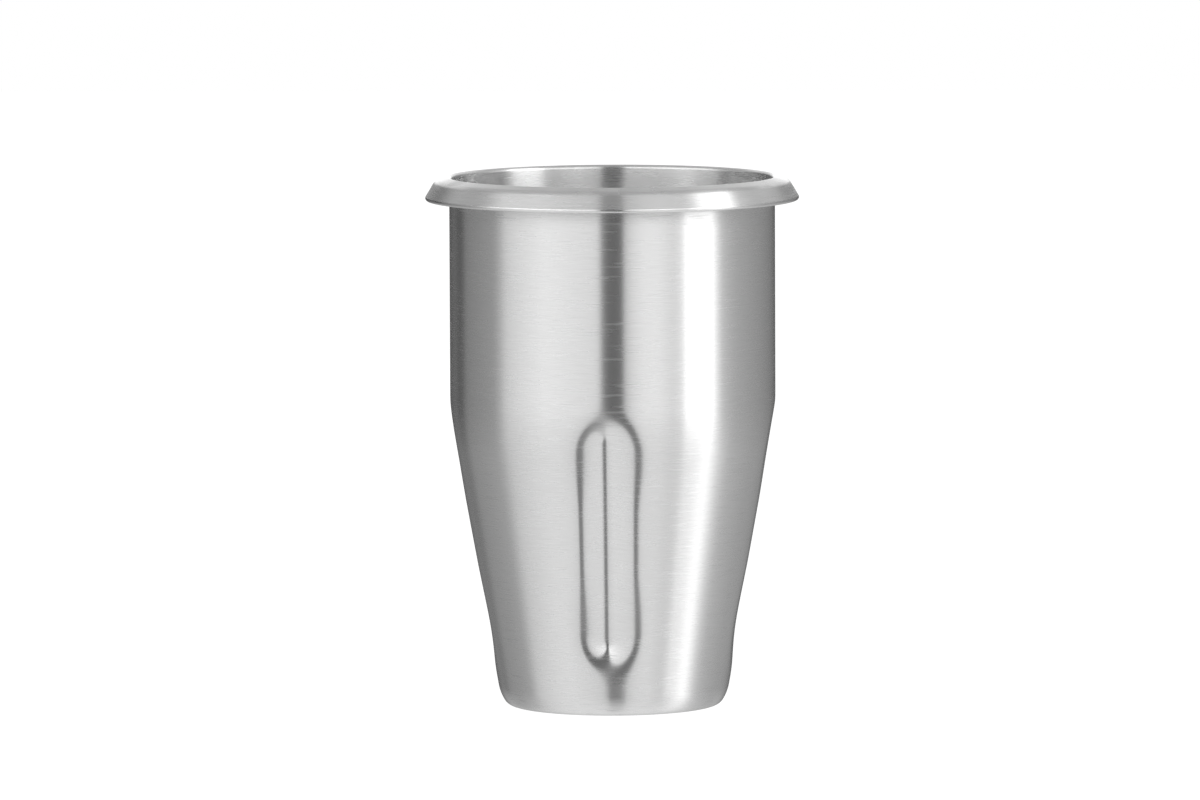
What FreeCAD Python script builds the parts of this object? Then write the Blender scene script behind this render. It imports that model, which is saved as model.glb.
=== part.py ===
import FreeCAD, Part
import math
import os

# A drawn steel mixing cup, standing on its base.
# The origin is the middle of the underside, +Z is up, and the four flutes lie on the X and Y axes.
# The middle line of the sheet is followed from the middle of the floor to the folded edge of the rim,
# as straight runs and bends. Lengths are millimetres, angles are degrees.

SHEET = 0.7                      # thickness of the steel
HALF_SHEET = SHEET / 2

# floor and heel
FLOOR_RADIUS = 30.7              # flat part of the underside
HEEL_LOW_RADIUS = 3.5            # outside of the tight bend beside the floor
HEEL_LOW_TURN = 58.0
HEEL_HIGH_RADIUS = 13.5          # outside of the easy bend that runs into the taper

# tapered and straight walls
TAPER = 10.2                     # lean of the lower wall from vertical
WALL_RADIUS = 50.0               # outside of the straight upper wall
SHOULDER_RADIUS = 90.0           # outside of the bend between the two walls

# rim
HEIGHT = 163.0
CROWN_RADIUS = 1.2               # rounding of the mouth's edge, where the wall turns outward
FLANGE_FALL = 17.0               # slope of the rim's top below level
FLANGE_LENGTH = 2.48
BROW_RADIUS = 3.0                # outside of the bend from the flange to the skirt
SKIRT_LEAN = 30.8                # lean of the skirt from vertical
SKIRT_LENGTH = 4.57
HEM_GAP = 0.2                    # daylight left inside the folded edge
HEM_LENGTH = 1.6                 # flat part of the folded edge, behind the skirt

# flutes
FLUTE_COUNT = 4
FLUTE_DEPTH = 2.75               # from the tapered wall to the keel of a flute
FLUTE_FLANK = 17.0               # slope of a flute's two sides
FLUTE_REACH = 14.0               # half the width of the pressing tool
FLUTE_KEEL_RADIUS = 5.0
FLUTE_EDGE_RADIUS = 8.0          # rounding where a flute meets the wall
FLUTE_TOP = 82.7                 # height where the keel ends and the flute rounds off
FLUTE_FOOT = 25.2

# heights where the named zones of the sheet meet
BASE_TOP = 10.0
FLUTED_TOP = 104.0
WALL_TOP = 150.0

UP = FreeCAD.Vector(0, 0, 1)
ORIGIN = FreeCAD.Vector(0, 0, 0)


def heel_end():
    """Outside radius and height where the heel runs into the taper."""
    low = math.radians(HEEL_LOW_TURN)
    lean = math.radians(TAPER)
    radius = FLOOR_RADIUS + HEEL_LOW_RADIUS * math.sin(low)
    radius += HEEL_HIGH_RADIUS * (math.cos(lean) - math.sin(low))
    height = HEEL_LOW_RADIUS * (1 - math.cos(low))
    height += HEEL_HIGH_RADIUS * (math.cos(low) - math.sin(lean))
    return radius, height


def taper_length():
    """Slanted length of the tapered wall that brings the straight wall out at its radius."""
    lean = math.radians(TAPER)
    shoulder_start = WALL_RADIUS - SHOULDER_RADIUS * (1 - math.cos(lean))
    return (shoulder_start - heel_end()[0]) / math.sin(lean)


def body_runs():
    """The middle line from the middle of the floor to the crown."""
    lean = math.radians(TAPER)
    shoulder_end = heel_end()[1] + taper_length() * math.cos(lean) + SHOULDER_RADIUS * math.sin(lean)
    return [
        ("straight", FLOOR_RADIUS),
        ("bend", HEEL_LOW_RADIUS - HALF_SHEET, HEEL_LOW_TURN),
        ("bend", HEEL_HIGH_RADIUS - HALF_SHEET, 90 - TAPER - HEEL_LOW_TURN),
        ("straight", taper_length()),
        ("bend", SHOULDER_RADIUS - HALF_SHEET, TAPER),
        ("straight", HEIGHT - CROWN_RADIUS - shoulder_end),
    ]


def rim_runs():
    """The middle line from the top of the straight wall to the bottom of the skirt."""
    return [
        ("straight", HEIGHT - CROWN_RADIUS - WALL_TOP),
        ("bend", CROWN_RADIUS - HALF_SHEET, -90 - FLANGE_FALL),
        ("straight", FLANGE_LENGTH),
        ("bend", BROW_RADIUS - HALF_SHEET, FLANGE_FALL + SKIRT_LEAN - 90),
        ("straight", SKIRT_LENGTH),
    ]


def hem_runs():
    """The middle line of the edge, folded back up behind the skirt."""
    return [
        ("bend", (SHEET + HEM_GAP) / 2, -180),
        ("straight", HEM_LENGTH),
    ]


def trace(runs, start, heading, side):
    """Edges of the line that runs beside the middle line, at the distance side to its left.

    start is a point of the middle line and heading its direction there, in the XZ plane, from +X
    towards +Z. A positive turn bends to the left and a negative one to the right.
    """
    angle = math.radians(heading)
    x = start[0] - side * math.sin(angle)
    z = start[1] + side * math.cos(angle)
    edges = []
    for run in runs:
        first = FreeCAD.Vector(x, 0, z)
        if run[0] == "straight":
            x += run[1] * math.cos(angle)
            z += run[1] * math.sin(angle)
            edges.append(Part.LineSegment(first, FreeCAD.Vector(x, 0, z)).toShape())
            continue
        turn = math.radians(run[2])
        radius = math.copysign(run[1], turn) - side
        centre_x = x - radius * math.sin(angle)
        centre_z = z + radius * math.cos(angle)
        half_way = angle + turn / 2
        angle += turn
        middle_x = centre_x + radius * math.sin(half_way)
        middle_z = centre_z - radius * math.cos(half_way)
        middle = FreeCAD.Vector(middle_x, 0, middle_z)
        x = centre_x + radius * math.sin(angle)
        z = centre_z - radius * math.cos(angle)
        edges.append(Part.Arc(first, middle, FreeCAD.Vector(x, 0, z)).toShape())
    return edges


def line_ends(edges):
    """First and last point of edges laid end to end."""
    return edges[0].valueAt(edges[0].FirstParameter), edges[-1].valueAt(edges[-1].LastParameter)


def revolved(edges):
    """Solid made by turning a closed outline about the Z axis. Its seam lies between two flutes."""
    face = Part.Face(Part.Wire(Part.__sortEdges__(edges)))
    face.rotate(ORIGIN, UP, 180 / FLUTE_COUNT)
    return face.revolve(ORIGIN, UP, 360)


def sheet(runs, start, heading):
    """The steel itself, turned about the Z axis, along a stretch of its middle line."""
    outer = trace(runs, start, heading, -HALF_SHEET)
    inner = trace(runs, start, heading, HALF_SHEET)
    outer_first, outer_last = line_ends(outer)
    inner_first, inner_last = line_ends(inner)
    outer.append(Part.LineSegment(outer_last, inner_last).toShape())
    outer.append(Part.LineSegment(inner_first, outer_first).toShape())
    return revolved(outer + inner)


def between(shape, low, high):
    """The part of a shape that lies between two heights."""
    slab = Part.makeCylinder(2 * WALL_RADIUS, high - low, FreeCAD.Vector(0, 0, low))
    return shape.common(slab)


def core(side):
    """Everything inside one side of the steel over the height of the fluted zone, ungrooved."""
    line = trace(body_runs(), (0, HALF_SHEET), 0, side)
    first, last = line_ends(line)
    line.append(Part.LineSegment(last, FreeCAD.Vector(0, 0, last.z)).toShape())
    line.append(Part.LineSegment(FreeCAD.Vector(0, 0, last.z), first).toShape())
    return between(revolved(line), BASE_TOP, FLUTED_TOP)


def keel_point(height):
    """Point of the straight keel of the flute on the X axis, at a height."""
    radius, low = heel_end()
    lean = math.radians(TAPER)
    wall = radius + (height - low) * math.tan(lean)
    return FreeCAD.Vector(wall - FLUTE_DEPTH / math.cos(lean), 0, height)


def flute_half(height, depth):
    """Half the cross-section of the pressing tool at a height, square to the keel, grown by depth."""
    flank = math.radians(FLUTE_FLANK)
    lean = math.radians(TAPER)
    outward = FreeCAD.Vector(math.cos(lean), 0, -math.sin(lean))
    sideways = FreeCAD.Vector(0, 1, 0)
    radius = FLUTE_KEEL_RADIUS + depth
    middle = keel_point(height) + outward * FLUTE_KEEL_RADIUS
    keel = middle - outward * radius
    bend = middle - outward * (radius * math.cos(flank / 2)) + sideways * (radius * math.sin(flank / 2))
    shoulder = middle - outward * (radius * math.cos(flank)) + sideways * (radius * math.sin(flank))
    rise = (FLUTE_REACH - radius * math.sin(flank)) * math.tan(flank)
    top = middle + outward * (rise - radius * math.cos(flank))
    side = top + sideways * FLUTE_REACH
    edges = [
        Part.Arc(keel, bend, shoulder).toShape(),
        Part.LineSegment(shoulder, side).toShape(),
        Part.LineSegment(side, top).toShape(),
        Part.LineSegment(top, keel).toShape(),
    ]
    return Part.Face(Part.Wire(edges))


def flute_tool(depth):
    """The body that presses the flute on the X axis: a straight V, rounded off at each end."""
    lean = math.radians(TAPER)
    outward = FreeCAD.Vector(math.cos(lean), 0, -math.sin(lean))
    foot = flute_half(FLUTE_FOOT, depth)
    top = flute_half(FLUTE_TOP, depth)
    one_side = foot.extrude(keel_point(FLUTE_TOP) - keel_point(FLUTE_FOOT))
    other_side = one_side.mirror(ORIGIN, FreeCAD.Vector(0, 1, 0))
    foot_end = foot.revolve(keel_point(FLUTE_FOOT), outward, 360)
    top_end = top.revolve(keel_point(FLUTE_TOP), outward, 360)
    return one_side.fuse([other_side, foot_end, top_end]).removeSplitter()


def on_surface(edge, surface):
    """Whether the middle of an edge lies on a surface."""
    middle = edge.valueAt((edge.FirstParameter + edge.LastParameter) / 2)
    return surface.distToShape(Part.Vertex(middle))[0] < 0.001


def near_flute(edge):
    """Whether the middle of an edge lies closer to a flute than to the seam between two flutes."""
    middle = edge.valueAt((edge.FirstParameter + edge.LastParameter) / 2)
    pitch = 360 / FLUTE_COUNT
    azimuth = math.degrees(math.atan2(middle.y, middle.x)) % pitch
    return min(azimuth, pitch - azimuth) < pitch / 4


def grooved_core(side, depth):
    """The core with its flutes pressed in and their edges rounded."""
    plain = core(side)
    wall = Part.Compound([face for face in plain.Faces if not isinstance(face.Surface, Part.Plane)])
    grooved = plain
    for number in range(FLUTE_COUNT):
        tool = flute_tool(depth)
        tool.rotate(ORIGIN, UP, number * 360 / FLUTE_COUNT)
        grooved = grooved.cut(tool)
    rims = [edge for edge in grooved.Edges if near_flute(edge) and edge.BoundBox.ZLength > 0.001]
    outline = [edge for edge in rims if on_surface(edge, wall)]
    return grooved.makeFillet(FLUTE_EDGE_RADIUS - depth, outline)


def fluted_wall():
    """The tapered wall and the shoulder, with the four flutes pressed through the steel."""
    return grooved_core(-HALF_SHEET, 0).cut(grooved_core(HALF_SHEET, SHEET))


def base():
    """The flat floor and the heel."""
    return between(sheet(body_runs(), (0, HALF_SHEET), 0), 0, BASE_TOP)


def straight_wall():
    """The plain upper wall, below the rim."""
    return between(sheet(body_runs(), (0, HALF_SHEET), 0), FLUTED_TOP, WALL_TOP)


def rim():
    """The top of the wall, turned out over the crown and down into the skirt."""
    return sheet(rim_runs(), (WALL_RADIUS - HALF_SHEET, WALL_TOP), 90)


def rim_hem():
    """The lower edge of the skirt, folded in and back up against it."""
    last = line_ends(trace(rim_runs(), (WALL_RADIUS - HALF_SHEET, WALL_TOP), 90, 0))[1]
    return sheet(hem_runs(), (last.x, last.z), SKIRT_LEAN - 90)


def build():
    """Write each named zone of the cup to its own file."""
    os.makedirs("parts", exist_ok=True)
    zones = {
        "base": base(),
        "fluted_wall": fluted_wall(),
        "straight_wall": straight_wall(),
        "rim": rim(),
        "rim_hem": rim_hem(),
    }
    for name, shape in zones.items():
        solid = shape.Solids[0]
        box = solid.BoundBox
        state = "valid" if solid.isValid() and len(shape.Solids) == 1 else "BROKEN"
        print(name, state, "volume %.1f" % solid.Volume, "z %.2f to %.2f" % (box.ZMin, box.ZMax))
        solid.exportStep("parts/" + name + ".step")


build()
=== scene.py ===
import math

import bpy
from mathutils import Matrix, Vector


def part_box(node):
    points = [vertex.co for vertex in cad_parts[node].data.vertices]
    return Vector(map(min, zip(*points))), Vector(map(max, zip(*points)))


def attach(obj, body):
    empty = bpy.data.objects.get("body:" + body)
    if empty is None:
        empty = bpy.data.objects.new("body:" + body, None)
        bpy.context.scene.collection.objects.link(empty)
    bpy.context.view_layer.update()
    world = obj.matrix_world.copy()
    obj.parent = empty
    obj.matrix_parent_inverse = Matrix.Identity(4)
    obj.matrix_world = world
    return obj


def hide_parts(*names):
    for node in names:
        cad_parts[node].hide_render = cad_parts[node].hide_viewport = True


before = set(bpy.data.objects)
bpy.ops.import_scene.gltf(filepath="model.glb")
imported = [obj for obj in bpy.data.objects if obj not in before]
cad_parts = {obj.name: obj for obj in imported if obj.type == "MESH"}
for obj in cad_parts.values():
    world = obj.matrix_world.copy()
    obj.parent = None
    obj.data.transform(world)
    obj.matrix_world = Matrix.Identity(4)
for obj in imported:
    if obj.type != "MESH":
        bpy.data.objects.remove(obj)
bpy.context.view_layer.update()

MM = 0.001

# the steel and its bends, as in the frame: outside sizes, in metres and radians
SHEET = 0.7 * MM
HALF_SHEET = SHEET / 2
FLOOR_RADIUS = 30.7 * MM
HEEL_LOW_RADIUS = 3.5 * MM
HEEL_LOW_TURN = math.radians(58.0)
HEEL_HIGH_RADIUS = 13.5 * MM
TAPER = math.radians(10.2)
WALL_RADIUS = 50.0 * MM
SHOULDER_RADIUS = 90.0 * MM
CROWN_RADIUS = 1.2 * MM
FLANGE_FALL = math.radians(17.0)
FLANGE_LENGTH = 2.48 * MM
BROW_RADIUS = 3.0 * MM
SKIRT_LEAN = math.radians(30.8)
SKIRT_LENGTH = 4.57 * MM
HEM_GAP = 0.2 * MM
HEM_LENGTH = 1.6 * MM

# where the zones of the sheet meet, from the frame
BASE_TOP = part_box("base")[1].z
FLUTED_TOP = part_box("fluted_wall")[1].z
WALL_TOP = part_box("straight_wall")[1].z
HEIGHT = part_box("rim")[1].z

# the flutes: a V pressed in along the taper, its ends rounded off in an ellipse
FLUTE_COUNT = 4
FLUTE_DEPTH = 2.75 * MM
FLUTE_FLANK = math.radians(17.0)
FLUTE_KEEL_RADIUS = 7.0 * MM
FLUTE_HALF_WIDTH = 8.4 * MM
FLUTE_TOP = 81.0 * MM            # where the ends start to round off
FLUTE_FOOT = 26.8 * MM
FLUTE_END_LENGTH = 10.2 * MM     # from there to the tip
FLUTE_KEEL_RUN = 4.6 * MM        # how far the keel runs on into the rounded end
FLUTE_BLEND = 2.0 * MM           # how far either side of the edge its rounding reaches, measured as a depth
FLUTE_END_BLEND = 4.0 * MM       # and round the ends
FLUTE_EDGE_GROWTH = 20.0 * MM    # it grows from the one to the other over this length

# how the outline is turned round the cup, from the middle of a flute: fine over the flutes and coarser between them
FLUTE_SWEEP = math.radians(32.0)
FLUTE_STEPS = 92
BETWEEN_SWEEP = math.tau / FLUTE_COUNT - FLUTE_SWEEP
BETWEEN_STEPS = 40
# between these heights, where the flutes are straight, the rows are far apart
FOOT_ROWS_TOP = 44.0 * MM
TOP_ROWS_FOOT = 63.0 * MM
SHARP = math.radians(35)         # edges up to this angle are shaded smooth


# ---------------------------------------------------------------- camera

CAMERA_DISTANCE = 3.3
CAMERA_AZIMUTH = math.radians(2.7)
CAMERA_HEIGHT = 0.395
CAMERA_ROLL = math.radians(-0.22)
CAMERA_LENS = 321.0
AIM_RIGHT = -3.95 * MM
AIM_HEIGHT = 94.0 * MM


def add_camera():
    """A long lens a little above the rim, aimed just left of the cup's axis."""
    right = Vector((math.cos(CAMERA_AZIMUTH), math.sin(CAMERA_AZIMUTH), 0))
    back = Vector((math.sin(CAMERA_AZIMUTH), -math.cos(CAMERA_AZIMUTH), 0))
    aim = right * AIM_RIGHT + Vector((0, 0, AIM_HEIGHT))
    level = math.sqrt(CAMERA_DISTANCE ** 2 - CAMERA_HEIGHT ** 2)
    place = back * level + right * AIM_RIGHT + Vector((0, 0, CAMERA_HEIGHT))
    data = bpy.data.cameras.new("studio_camera")
    data.lens = CAMERA_LENS
    data.sensor_width = 36.0
    data.clip_end = 50.0
    camera = bpy.data.objects.new("studio_camera", data)
    bpy.context.collection.objects.link(camera)
    turn = (aim - place).to_track_quat("-Z", "Y").to_matrix().to_4x4()
    camera.matrix_world = Matrix.Translation(place) @ turn @ Matrix.Rotation(CAMERA_ROLL, 4, "Z")
    bpy.context.scene.camera = camera


# ---------------------------------------------------------------- the cup's pieces

def start_line(name, point):
    """A new piece in edit mode, with one corner, selected: a plane merged to that corner."""
    bpy.ops.object.select_all(action="DESELECT")
    bpy.ops.mesh.primitive_plane_add(size=MM, location=point)
    bpy.ops.object.transform_apply(location=True, rotation=True, scale=True)
    piece = bpy.context.object
    piece.name = name
    piece.data.name = name
    bpy.ops.object.mode_set(mode="EDIT")
    bpy.ops.mesh.merge(type="CENTER")
    bpy.ops.mesh.select_all(action="SELECT")
    return piece


def follow(runs, point, heading):
    """Draw an outline in the XZ plane from the selected corner, as straight runs (length, steps) and bends
    (radius, turn, steps). Returns where it ends and its heading there."""
    end = Vector(point)
    for run in runs:
        if len(run) == 2:
            length, steps = run
            step = Vector((math.cos(heading), 0, math.sin(heading))) * length / steps
            for _ in range(steps):
                bpy.ops.mesh.extrude_region_move(TRANSFORM_OT_translate={"value": step})
                end += step
            continue
        radius, turn, steps = run
        side = math.copysign(radius, turn)
        centre = end + Vector((-math.sin(heading), 0, math.cos(heading))) * side
        bpy.ops.mesh.spin(steps=steps, angle=turn, center=centre, axis=(0, 1, 0))
        heading += turn
        end = centre + Vector((math.sin(heading), 0, -math.cos(heading))) * side
    return end, heading


def turn_round():
    """Spin the outline in hand about the Z axis and close its seam and its pole."""
    bpy.ops.mesh.select_all(action="SELECT")
    for _ in range(FLUTE_COUNT):
        for steps, sweep in ((FLUTE_STEPS // 2, FLUTE_SWEEP / 2), (BETWEEN_STEPS, BETWEEN_SWEEP),
                             (FLUTE_STEPS // 2, FLUTE_SWEEP / 2)):
            bpy.ops.mesh.spin(steps=steps, angle=sweep, center=(0, 0, 0), axis=(0, 0, 1))
    bpy.ops.mesh.select_all(action="SELECT")
    bpy.ops.mesh.remove_doubles(threshold=0.002 * MM)
    bpy.ops.mesh.normals_make_consistent(inside=False)
    bpy.ops.object.mode_set(mode="OBJECT")


def thicken(piece, offset):
    """Give the surface the thickness of the steel: offset -1 puts it inside, 0 puts it half each side."""
    solidify = piece.modifiers.new("sheet", "SOLIDIFY")
    solidify.thickness = SHEET
    solidify.offset = offset
    solidify.use_even_offset = True
    solidify.use_quality_normals = True
    bpy.ops.object.modifier_apply(modifier="sheet")
    bpy.ops.object.shade_smooth_by_angle(angle=SHARP)


def heel_end():
    """Outside radius and height where the heel runs into the taper."""
    radius = FLOOR_RADIUS + HEEL_LOW_RADIUS * math.sin(HEEL_LOW_TURN)
    radius += HEEL_HIGH_RADIUS * (math.cos(TAPER) - math.sin(HEEL_LOW_TURN))
    height = HEEL_LOW_RADIUS * (1 - math.cos(HEEL_LOW_TURN))
    height += HEEL_HIGH_RADIUS * (math.cos(HEEL_LOW_TURN) - math.sin(TAPER))
    return radius, height


def shoulder_start():
    """Height where the taper runs into the shoulder."""
    radius, height = heel_end()
    return height + (WALL_RADIUS - SHOULDER_RADIUS * (1 - math.cos(TAPER)) - radius) / math.tan(TAPER)


def taper_point(height):
    """Point of the tapered wall's outside at a height, in the XZ plane."""
    radius, low = heel_end()
    return Vector((radius + (height - low) * math.tan(TAPER), 0, height))


def make_base():
    """The flat floor and the rounded heel."""
    piece = start_line("cup_base", (0, 0, 0))
    height = heel_end()[1]
    follow([
        (FLOOR_RADIUS, 10),
        (HEEL_LOW_RADIUS, HEEL_LOW_TURN, 16),
        (HEEL_HIGH_RADIUS, math.pi / 2 - TAPER - HEEL_LOW_TURN, 12),
        ((BASE_TOP - height) / math.cos(TAPER), 3),
    ], (0, 0, 0), 0)
    turn_round()
    thicken(piece, -1)
    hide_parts("base")
    return piece


def tool_width(across, beyond):
    """Distance from the keel at which the flank is as high as at this point, beyond the flute's straight part."""
    width = abs(across)
    stretch = FLUTE_END_LENGTH / FLUTE_HALF_WIDTH
    run = FLUTE_KEEL_RUN / FLUTE_HALF_WIDTH
    offset = beyond - FLUTE_KEEL_RUN
    if offset + run * width <= 0:
        return width
    spread = stretch ** 2 - run ** 2
    root = math.sqrt((offset * run) ** 2 + spread * (offset ** 2 + (stretch * width) ** 2))
    return (offset * run + root) / spread


def tool_height(across, along, length):
    """Height of the pressing tool's face over the plane the taper's outside touches."""
    width = tool_width(across, max(along - length, -along))
    keel_width = FLUTE_KEEL_RADIUS * math.sin(FLUTE_FLANK)
    if width < keel_width:
        return FLUTE_KEEL_RADIUS - math.sqrt(FLUTE_KEEL_RADIUS ** 2 - width ** 2) - FLUTE_DEPTH
    rise = FLUTE_KEEL_RADIUS * (1 - math.cos(FLUTE_FLANK))
    return rise + (width - keel_width) * math.tan(FLUTE_FLANK) - FLUTE_DEPTH


def press_flute(point):
    """Where a point of the plain wall's outside goes when the flute nearest to it is pressed in."""
    pitch = math.tau / FLUTE_COUNT
    azimuth = math.atan2(point.y, point.x)
    middle = round(azimuth / pitch) * pitch
    radius = math.hypot(point.x, point.y)
    across = radius * math.sin(azimuth - middle)
    forward = radius * math.cos(azimuth - middle)
    foot = taper_point(FLUTE_FOOT)
    length = (FLUTE_TOP - FLUTE_FOOT) / math.cos(TAPER)
    along = (forward - foot.x) * math.sin(TAPER) + (point.z - foot.z) * math.cos(TAPER)
    out = (forward - foot.x) * math.cos(TAPER) - (point.z - foot.z) * math.sin(TAPER)
    gap = tool_height(across, along, length) - out
    # the edge between the two faces is rounded by a blend, wider round the ends
    nearness = min(max(1 - min(along, length - along) / FLUTE_EDGE_GROWTH, 0), 1)
    blend = FLUTE_BLEND + (FLUTE_END_BLEND - FLUTE_BLEND) * nearness * nearness * (3 - 2 * nearness)
    closeness = max(blend - abs(gap), 0.0) / blend
    pressed = min(gap, 0.0) - closeness ** 3 * blend / 6
    move = Vector((math.cos(TAPER) * math.cos(middle), math.cos(TAPER) * math.sin(middle), -math.sin(TAPER)))
    return point + move * pressed


def make_fluted_wall():
    """The tapered wall and the shoulder, turned plain and then pressed with the four flutes."""
    start = taper_point(BASE_TOP)
    shoulder = shoulder_start()
    piece = start_line("cup_fluted_wall", start)
    follow([
        ((FOOT_ROWS_TOP - BASE_TOP) / math.cos(TAPER), 37),
        ((TOP_ROWS_FOOT - FOOT_ROWS_TOP) / math.cos(TAPER), 5),
        ((shoulder - TOP_ROWS_FOOT) / math.cos(TAPER), 16),
        (SHOULDER_RADIUS, TAPER, 20),
        (FLUTED_TOP - shoulder - SHOULDER_RADIUS * math.sin(TAPER), 5),
    ], start, math.pi / 2 - TAPER)
    turn_round()
    for vertex in piece.data.vertices:
        vertex.co = press_flute(vertex.co)
    thicken(piece, -1)
    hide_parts("fluted_wall")
    return piece


def make_straight_wall():
    """The plain upper wall."""
    start = (WALL_RADIUS, 0, FLUTED_TOP)
    piece = start_line("cup_straight_wall", start)
    follow([(WALL_TOP - FLUTED_TOP, 12)], start, math.pi / 2)
    turn_round()
    thicken(piece, -1)
    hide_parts("straight_wall")
    return piece


def make_rim():
    """The top of the wall, turned out over the crown and down into the skirt. Returns where its middle line ends."""
    start = (WALL_RADIUS - HALF_SHEET, 0, WALL_TOP)
    piece = start_line("cup_rim", start)
    end = follow([
        (HEIGHT - CROWN_RADIUS - WALL_TOP, 4),
        (CROWN_RADIUS - HALF_SHEET, -math.pi / 2 - FLANGE_FALL, 20),
        (FLANGE_LENGTH, 3),
        (BROW_RADIUS - HALF_SHEET, FLANGE_FALL + SKIRT_LEAN - math.pi / 2, 12),
        (SKIRT_LENGTH, 4),
    ], start, math.pi / 2)
    turn_round()
    thicken(piece, 0)
    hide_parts("rim")
    return piece, end


def make_hem(end):
    """The lower edge of the skirt, folded in and back up behind it."""
    point, heading = end
    piece = start_line("cup_rim_hem", point)
    follow([((SHEET + HEM_GAP) / 2, -math.pi, 20), (HEM_LENGTH, 2)], point, heading)
    turn_round()
    thicken(piece, 0)
    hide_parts("rim_hem")
    return piece


# ---------------------------------------------------------------- material

# streaks of the grain, as (length round the cup, width across it, detail)
FINE_GRAIN = (6.0 * MM, 0.25 * MM, 2.0)
LONG_MARKS = (9.0 * MM, 0.5 * MM, 0.0)
GRAIN_DEPTH = 0.02 * MM
GRAIN_TILT = 0.3
# roughness of the sound surface, and of the marks
POLISHED = 0.25
WORN = 0.34


def linear(code):
    """An sRGB hex colour as linear red, green, blue, alpha."""
    parts = [int(code[i:i + 2], 16) / 255 for i in (1, 3, 5)]
    return [p / 12.92 if p <= 0.04045 else ((p + 0.055) / 1.055) ** 2.4 for p in parts] + [1.0]


def node(tree, kind, inputs=None, stops=None, **settings):
    """Add a node with its settings, its inputs by name or number, each a value or a socket to link, and, on a colour
    ramp, its stops (position, level of grey)."""
    made = tree.nodes.new(kind)
    for name, value in settings.items():
        setattr(made, name, value)
    for name, value in (inputs or {}).items():
        if isinstance(value, bpy.types.NodeSocket):
            tree.links.new(value, made.inputs[name])
        else:
            made.inputs[name].default_value = value
    if stops:
        elements = made.color_ramp.elements
        for position, _ in stops[1:-1]:
            elements.new(position)
        elements[-1].position = stops[-1][0]
        elements[0].position = stops[0][0]
        for element, (_, level) in zip(elements, stops):
            element.color = grey(level)
    return made


def grey(level):
    """A level of grey as red, green, blue, alpha."""
    return (level, level, level, 1)


def brushed_steel():
    """Stainless steel, 18/8, brushed round the cup: the scratches run round it and spread reflections up and down.

    The grain's lines are a quarter of a millimetre wide and some six long, coarser than the real ones, which
    would be too fine to draw. A few longer marks lie over them.
    """
    material = bpy.data.materials.new("brushed_stainless_steel")
    material.use_nodes = True
    tree = material.node_tree
    shader = tree.nodes["Principled BSDF"]
    shader.inputs["Metallic"].default_value = 1.0
    shader.inputs["Anisotropic"].default_value = 1.0
    shader.inputs["Anisotropic Rotation"].default_value = 0.25
    place = node(tree, "ShaderNodeTexCoord").outputs["Object"]
    parts = node(tree, "ShaderNodeSeparateXYZ", {"Vector": place}).outputs
    flat = node(tree, "ShaderNodeCombineXYZ", {"X": parts["X"], "Y": parts["Y"]}).outputs["Vector"]
    radius = node(tree, "ShaderNodeVectorMath", {0: flat}, operation="LENGTH").outputs["Value"]
    around = node(tree, "ShaderNodeVectorMath", {0: flat}, operation="NORMALIZE").outputs["Vector"]
    # position across the grain: mostly the height, with some of the radius so that flat faces have it too
    across = node(tree, "ShaderNodeMath", {0: radius, 1: GRAIN_TILT, 2: parts["Z"]}, operation="MULTIPLY_ADD")
    lift = node(tree, "ShaderNodeCombineXYZ", {"Z": across.outputs["Value"]}).outputs["Vector"]
    streaks = []
    for length, width, detail in (FINE_GRAIN, LONG_MARKS):
        turns = node(tree, "ShaderNodeVectorMath", {0: around, "Scale": WALL_RADIUS / length}, operation="SCALE")
        rows = node(tree, "ShaderNodeVectorMath", {0: lift, "Scale": 1 / width}, operation="SCALE")
        both = node(tree, "ShaderNodeVectorMath", {0: turns.outputs["Vector"], 1: rows.outputs["Vector"]},
                    operation="ADD")
        noise = node(tree, "ShaderNodeTexNoise", {"Vector": both.outputs["Vector"], "Scale": 1.0, "Detail": detail})
        streaks.append(noise.outputs["Fac"])
    fine, marks = streaks
    tone = node(tree, "ShaderNodeMapRange", {"Value": fine, "From Min": 0.3, "From Max": 0.7})
    colour = node(tree, "ShaderNodeMix", {"Factor": tone.outputs["Result"], 6: linear("#e4e4e4"),
                                          7: linear("#eaeaea")}, data_type="RGBA")
    worn = node(tree, "ShaderNodeMapRange", {"Value": marks, "From Min": 0.62, "From Max": 0.8,
                                             "To Min": POLISHED, "To Max": WORN})
    bump = node(tree, "ShaderNodeBump", {"Height": fine, "Strength": 0.06, "Distance": GRAIN_DEPTH})
    tangent = node(tree, "ShaderNodeTangent", direction_type="RADIAL", axis="Z")
    tree.links.new(colour.outputs[2], shader.inputs["Base Color"])
    tree.links.new(worn.outputs["Result"], shader.inputs["Roughness"])
    tree.links.new(bump.outputs["Normal"], shader.inputs["Normal"])
    tree.links.new(tangent.outputs["Tangent"], shader.inputs["Tangent"])
    return material


# ---------------------------------------------------------------- studio

# how bright the studio's walls are all round at eye level, as (degrees to the right of the camera, light)
EYE_LEVEL = [
    (-166, 0.09), (-150, 0.12), (-140, 0.07), (-134, 0.09), (-127, 0.21), (-93, 0.31), (-87, 0.48), (-82, 0.70),
    (-70, 0.80), (-50, 0.95), (-25, 0.84), (-9.2, 0.78), (-7.8, 0.06), (6.9, 0.06), (8.6, 0.72), (22, 0.92),
    (32, 0.93), (44, 0.76), (50, 0.88), (54, 1.6), (74.5, 1.6), (78.5, 0.95), (84, 0.48), (100, 0.40),
    (130, 0.29), (150, 0.21), (166, 0.11),
]
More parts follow.
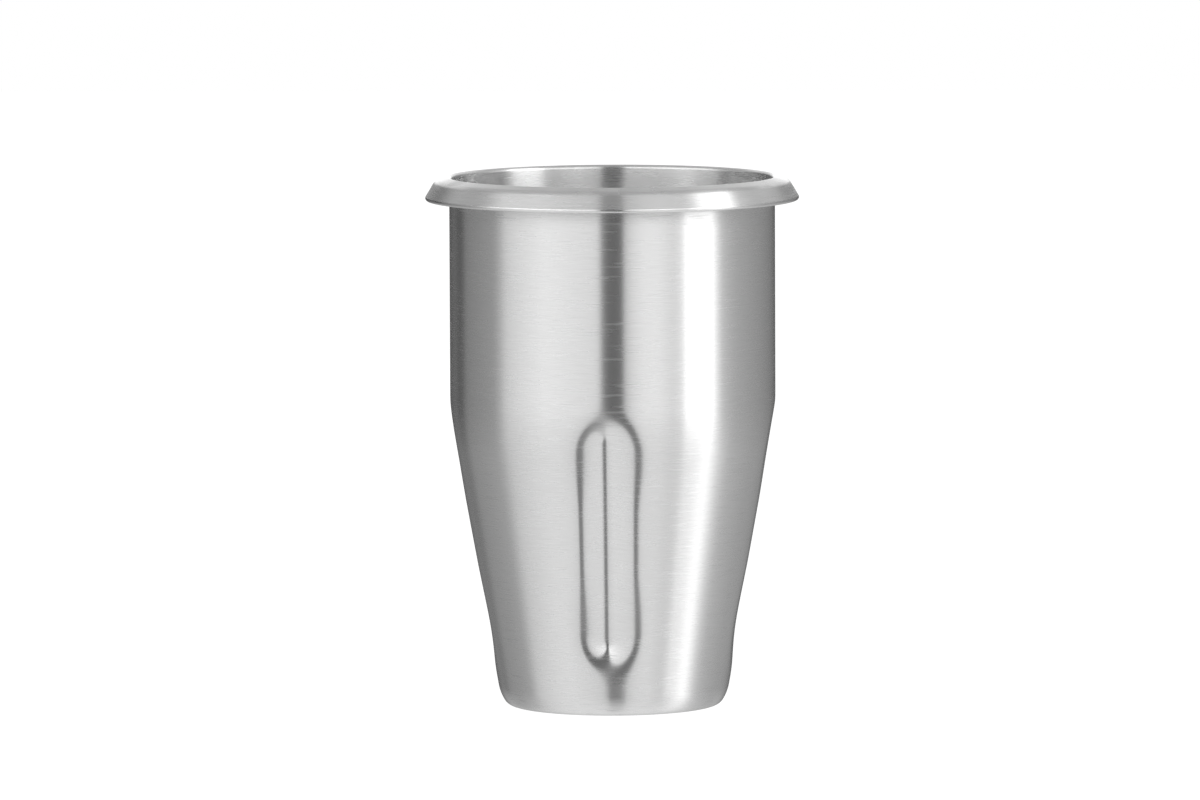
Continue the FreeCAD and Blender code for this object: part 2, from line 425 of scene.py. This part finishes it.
# and down by the table, whose light washes over them
TABLE_LEVEL = [
    (-152, 0.52), (-138, 0.40), (-115, 0.40), (-97, 0.46), (-90, 0.56), (-84, 0.68), (-60, 0.80), (-43, 0.82),
    (-25, 0.76), (-10, 0.66), (-6.5, 0.60), (-4, 0.17), (11, 0.17), (14, 0.60), (23, 0.74), (36, 0.78),
    (54, 0.66), (64, 0.72), (69, 0.95), (74, 1.3), (84, 1.25), (91, 0.9), (98, 0.64), (110, 0.54), (125, 0.47),
    (150, 0.52),
]
# how much brighter or dimmer they get higher up in front, as (sine of the height over eye level, factor)
WALL_HEIGHTS = [
    (-0.42, 1.0), (-0.25, 0.86), (0.0, 0.86), (0.15, 1.25), (0.3, 1.8), (0.4, 2.6), (0.5, 2.5), (0.62, 0.9),
    (0.76, 0.55), (1.0, 0.42),
]
# the share of a lamp's light that is mixed in high up, as (sine of the height over eye level, share)
HIGH_LIGHT = [(-0.3, 0.0), (0.26, 0.0), (0.38, 0.1), (0.5, 0.1), (0.6, 0.0), (0.9, 0.0)]
LAMP_LIGHT = 3.0
# how bright the backdrop behind the cup is, as (sine of the height over eye level, light)
BACKDROP = [(-0.3, 0.9), (0.05, 1.3), (0.15, 1.1), (0.35, 0.6), (0.6, 0.5), (0.8, 0.55)]
CEILING_LIGHT = 0.45
TABLE_LIGHT = 0.9


def add_world():
    """Soft studio walls all round, a pale backdrop behind, a white table under them and a white ceiling over them."""
    world = bpy.data.worlds.new("studio")
    bpy.context.scene.world = world
    world.use_nodes = True
    tree = world.node_tree
    direction = node(tree, "ShaderNodeTexCoord").outputs["Generated"]
    turned = node(tree, "ShaderNodeVectorRotate", {"Vector": direction, "Angle": -CAMERA_AZIMUTH},
                  rotation_type="Z_AXIS")
    parts = node(tree, "ShaderNodeSeparateXYZ", {"Vector": turned.outputs["Vector"]}).outputs
    height = parts["Z"]
    front = node(tree, "ShaderNodeMath", {0: parts["Y"], 1: -1.0}, operation="MULTIPLY").outputs["Value"]
    angle = node(tree, "ShaderNodeMath", {0: parts["X"], 1: front}, operation="ARCTAN2").outputs["Value"]
    degrees = node(tree, "ShaderNodeMath", {0: angle}, operation="DEGREES").outputs["Value"]
    aside = node(tree, "ShaderNodeMath", {0: degrees}, operation="ABSOLUTE").outputs["Value"]
    # the backdrop is narrow at eye level, and wider higher up
    behind = node(tree, "ShaderNodeMath", {0: height, 1: 80.0, 2: aside}, operation="MULTIPLY_ADD").outputs["Value"]

    # shares that go smoothly from 0 at the first value to 1 at the second
    shares = []
    for source, start, end in ((height, 0.3, 0.65), (degrees, 10, 60), (height, -0.08, -0.42), (aside, 115, 80),
                               (behind, 172, 178), (height, 0.62, 0.92), (height, -0.45, -1.0)):
        share = node(tree, "ShaderNodeMapRange", {"Value": source, "From Min": start, "From Max": end},
                     interpolation_type="SMOOTHSTEP")
        shares.append(share.outputs["Result"])
    high, to_the_right, by_the_table, in_front, on_backdrop, on_ceiling, on_table = shares

    # everything on the right-hand wall leans outwards towards the top
    leaning = node(tree, "ShaderNodeMath", {0: high, 1: to_the_right}, operation="MULTIPLY").outputs["Value"]
    narrower = node(tree, "ShaderNodeMath", {0: leaning, 1: -0.2, 2: 1.0}, operation="MULTIPLY_ADD").outputs["Value"]
    turn = node(tree, "ShaderNodeMath", {0: degrees, 1: narrower}, operation="MULTIPLY").outputs["Value"]

    levels = []
    for source, low, high_end, table in ((turn, -180, 180, EYE_LEVEL), (turn, -180, 180, TABLE_LEVEL),
                                         (height, -1, 1, BACKDROP), (height, -1, 1, WALL_HEIGHTS),
                                         (height, -1, 1, HIGH_LIGHT)):
        place = node(tree, "ShaderNodeMapRange", {"Value": source, "From Min": low, "From Max": high_end})
        stops = [((at - low) / (high_end - low), level) for at, level in table]
        levels.append(node(tree, "ShaderNodeValToRGB", {"Fac": place.outputs["Result"]}, stops).outputs["Color"])
    eye_level, table_level, backdrop, heights, lamp = levels

    room = eye_level
    seen = node(tree, "ShaderNodeLightPath").outputs["Is Camera Ray"]
    for share, light, way in ((by_the_table, table_level, "MIX"), (in_front, heights, "MULTIPLY"),
                              (on_backdrop, backdrop, "MIX"), (lamp, grey(LAMP_LIGHT), "MIX"),
                              (on_ceiling, grey(CEILING_LIGHT), "MIX"), (on_table, grey(TABLE_LIGHT), "MIX"),
                              (seen, grey(1.0), "MIX")):
        room = node(tree, "ShaderNodeMix", {"Factor": share, 6: room, 7: light}, data_type="RGBA",
                    blend_type=way).outputs[2]
    tree.links.new(room, tree.nodes["Background"].inputs["Color"])


def add_floor():
    """A plain pale floor. It is kept out of the cup's reflections, so the studio walls show in them right down."""
    bpy.ops.mesh.primitive_plane_add(size=6.0, location=(0, 0, 0))
    floor = bpy.context.object
    floor.name = "studio_floor"
    floor.visible_glossy = False
    material = bpy.data.materials.new("pale_floor")
    material.use_nodes = True
    shader = material.node_tree.nodes["Principled BSDF"]
    shader.inputs["Base Color"].default_value = (0.25, 0.25, 0.25, 1)
    shader.inputs["Roughness"].default_value = 1.0
    shader.inputs["Specular IOR Level"].default_value = 0.0
    shader.inputs["Emission Color"].default_value = (1, 1, 1, 1)
    shader.inputs["Emission Strength"].default_value = 0.9
    floor.data.materials.append(material)


add_camera()
steel = brushed_steel()
rim, rim_end = make_rim()
for piece in (make_base(), make_fluted_wall(), make_straight_wall(), rim, make_hem(rim_end)):
    piece.data.materials.append(steel)
    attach(piece, "root")
add_world()
add_floor()
bpy.context.scene.view_settings.view_transform = "Standard"
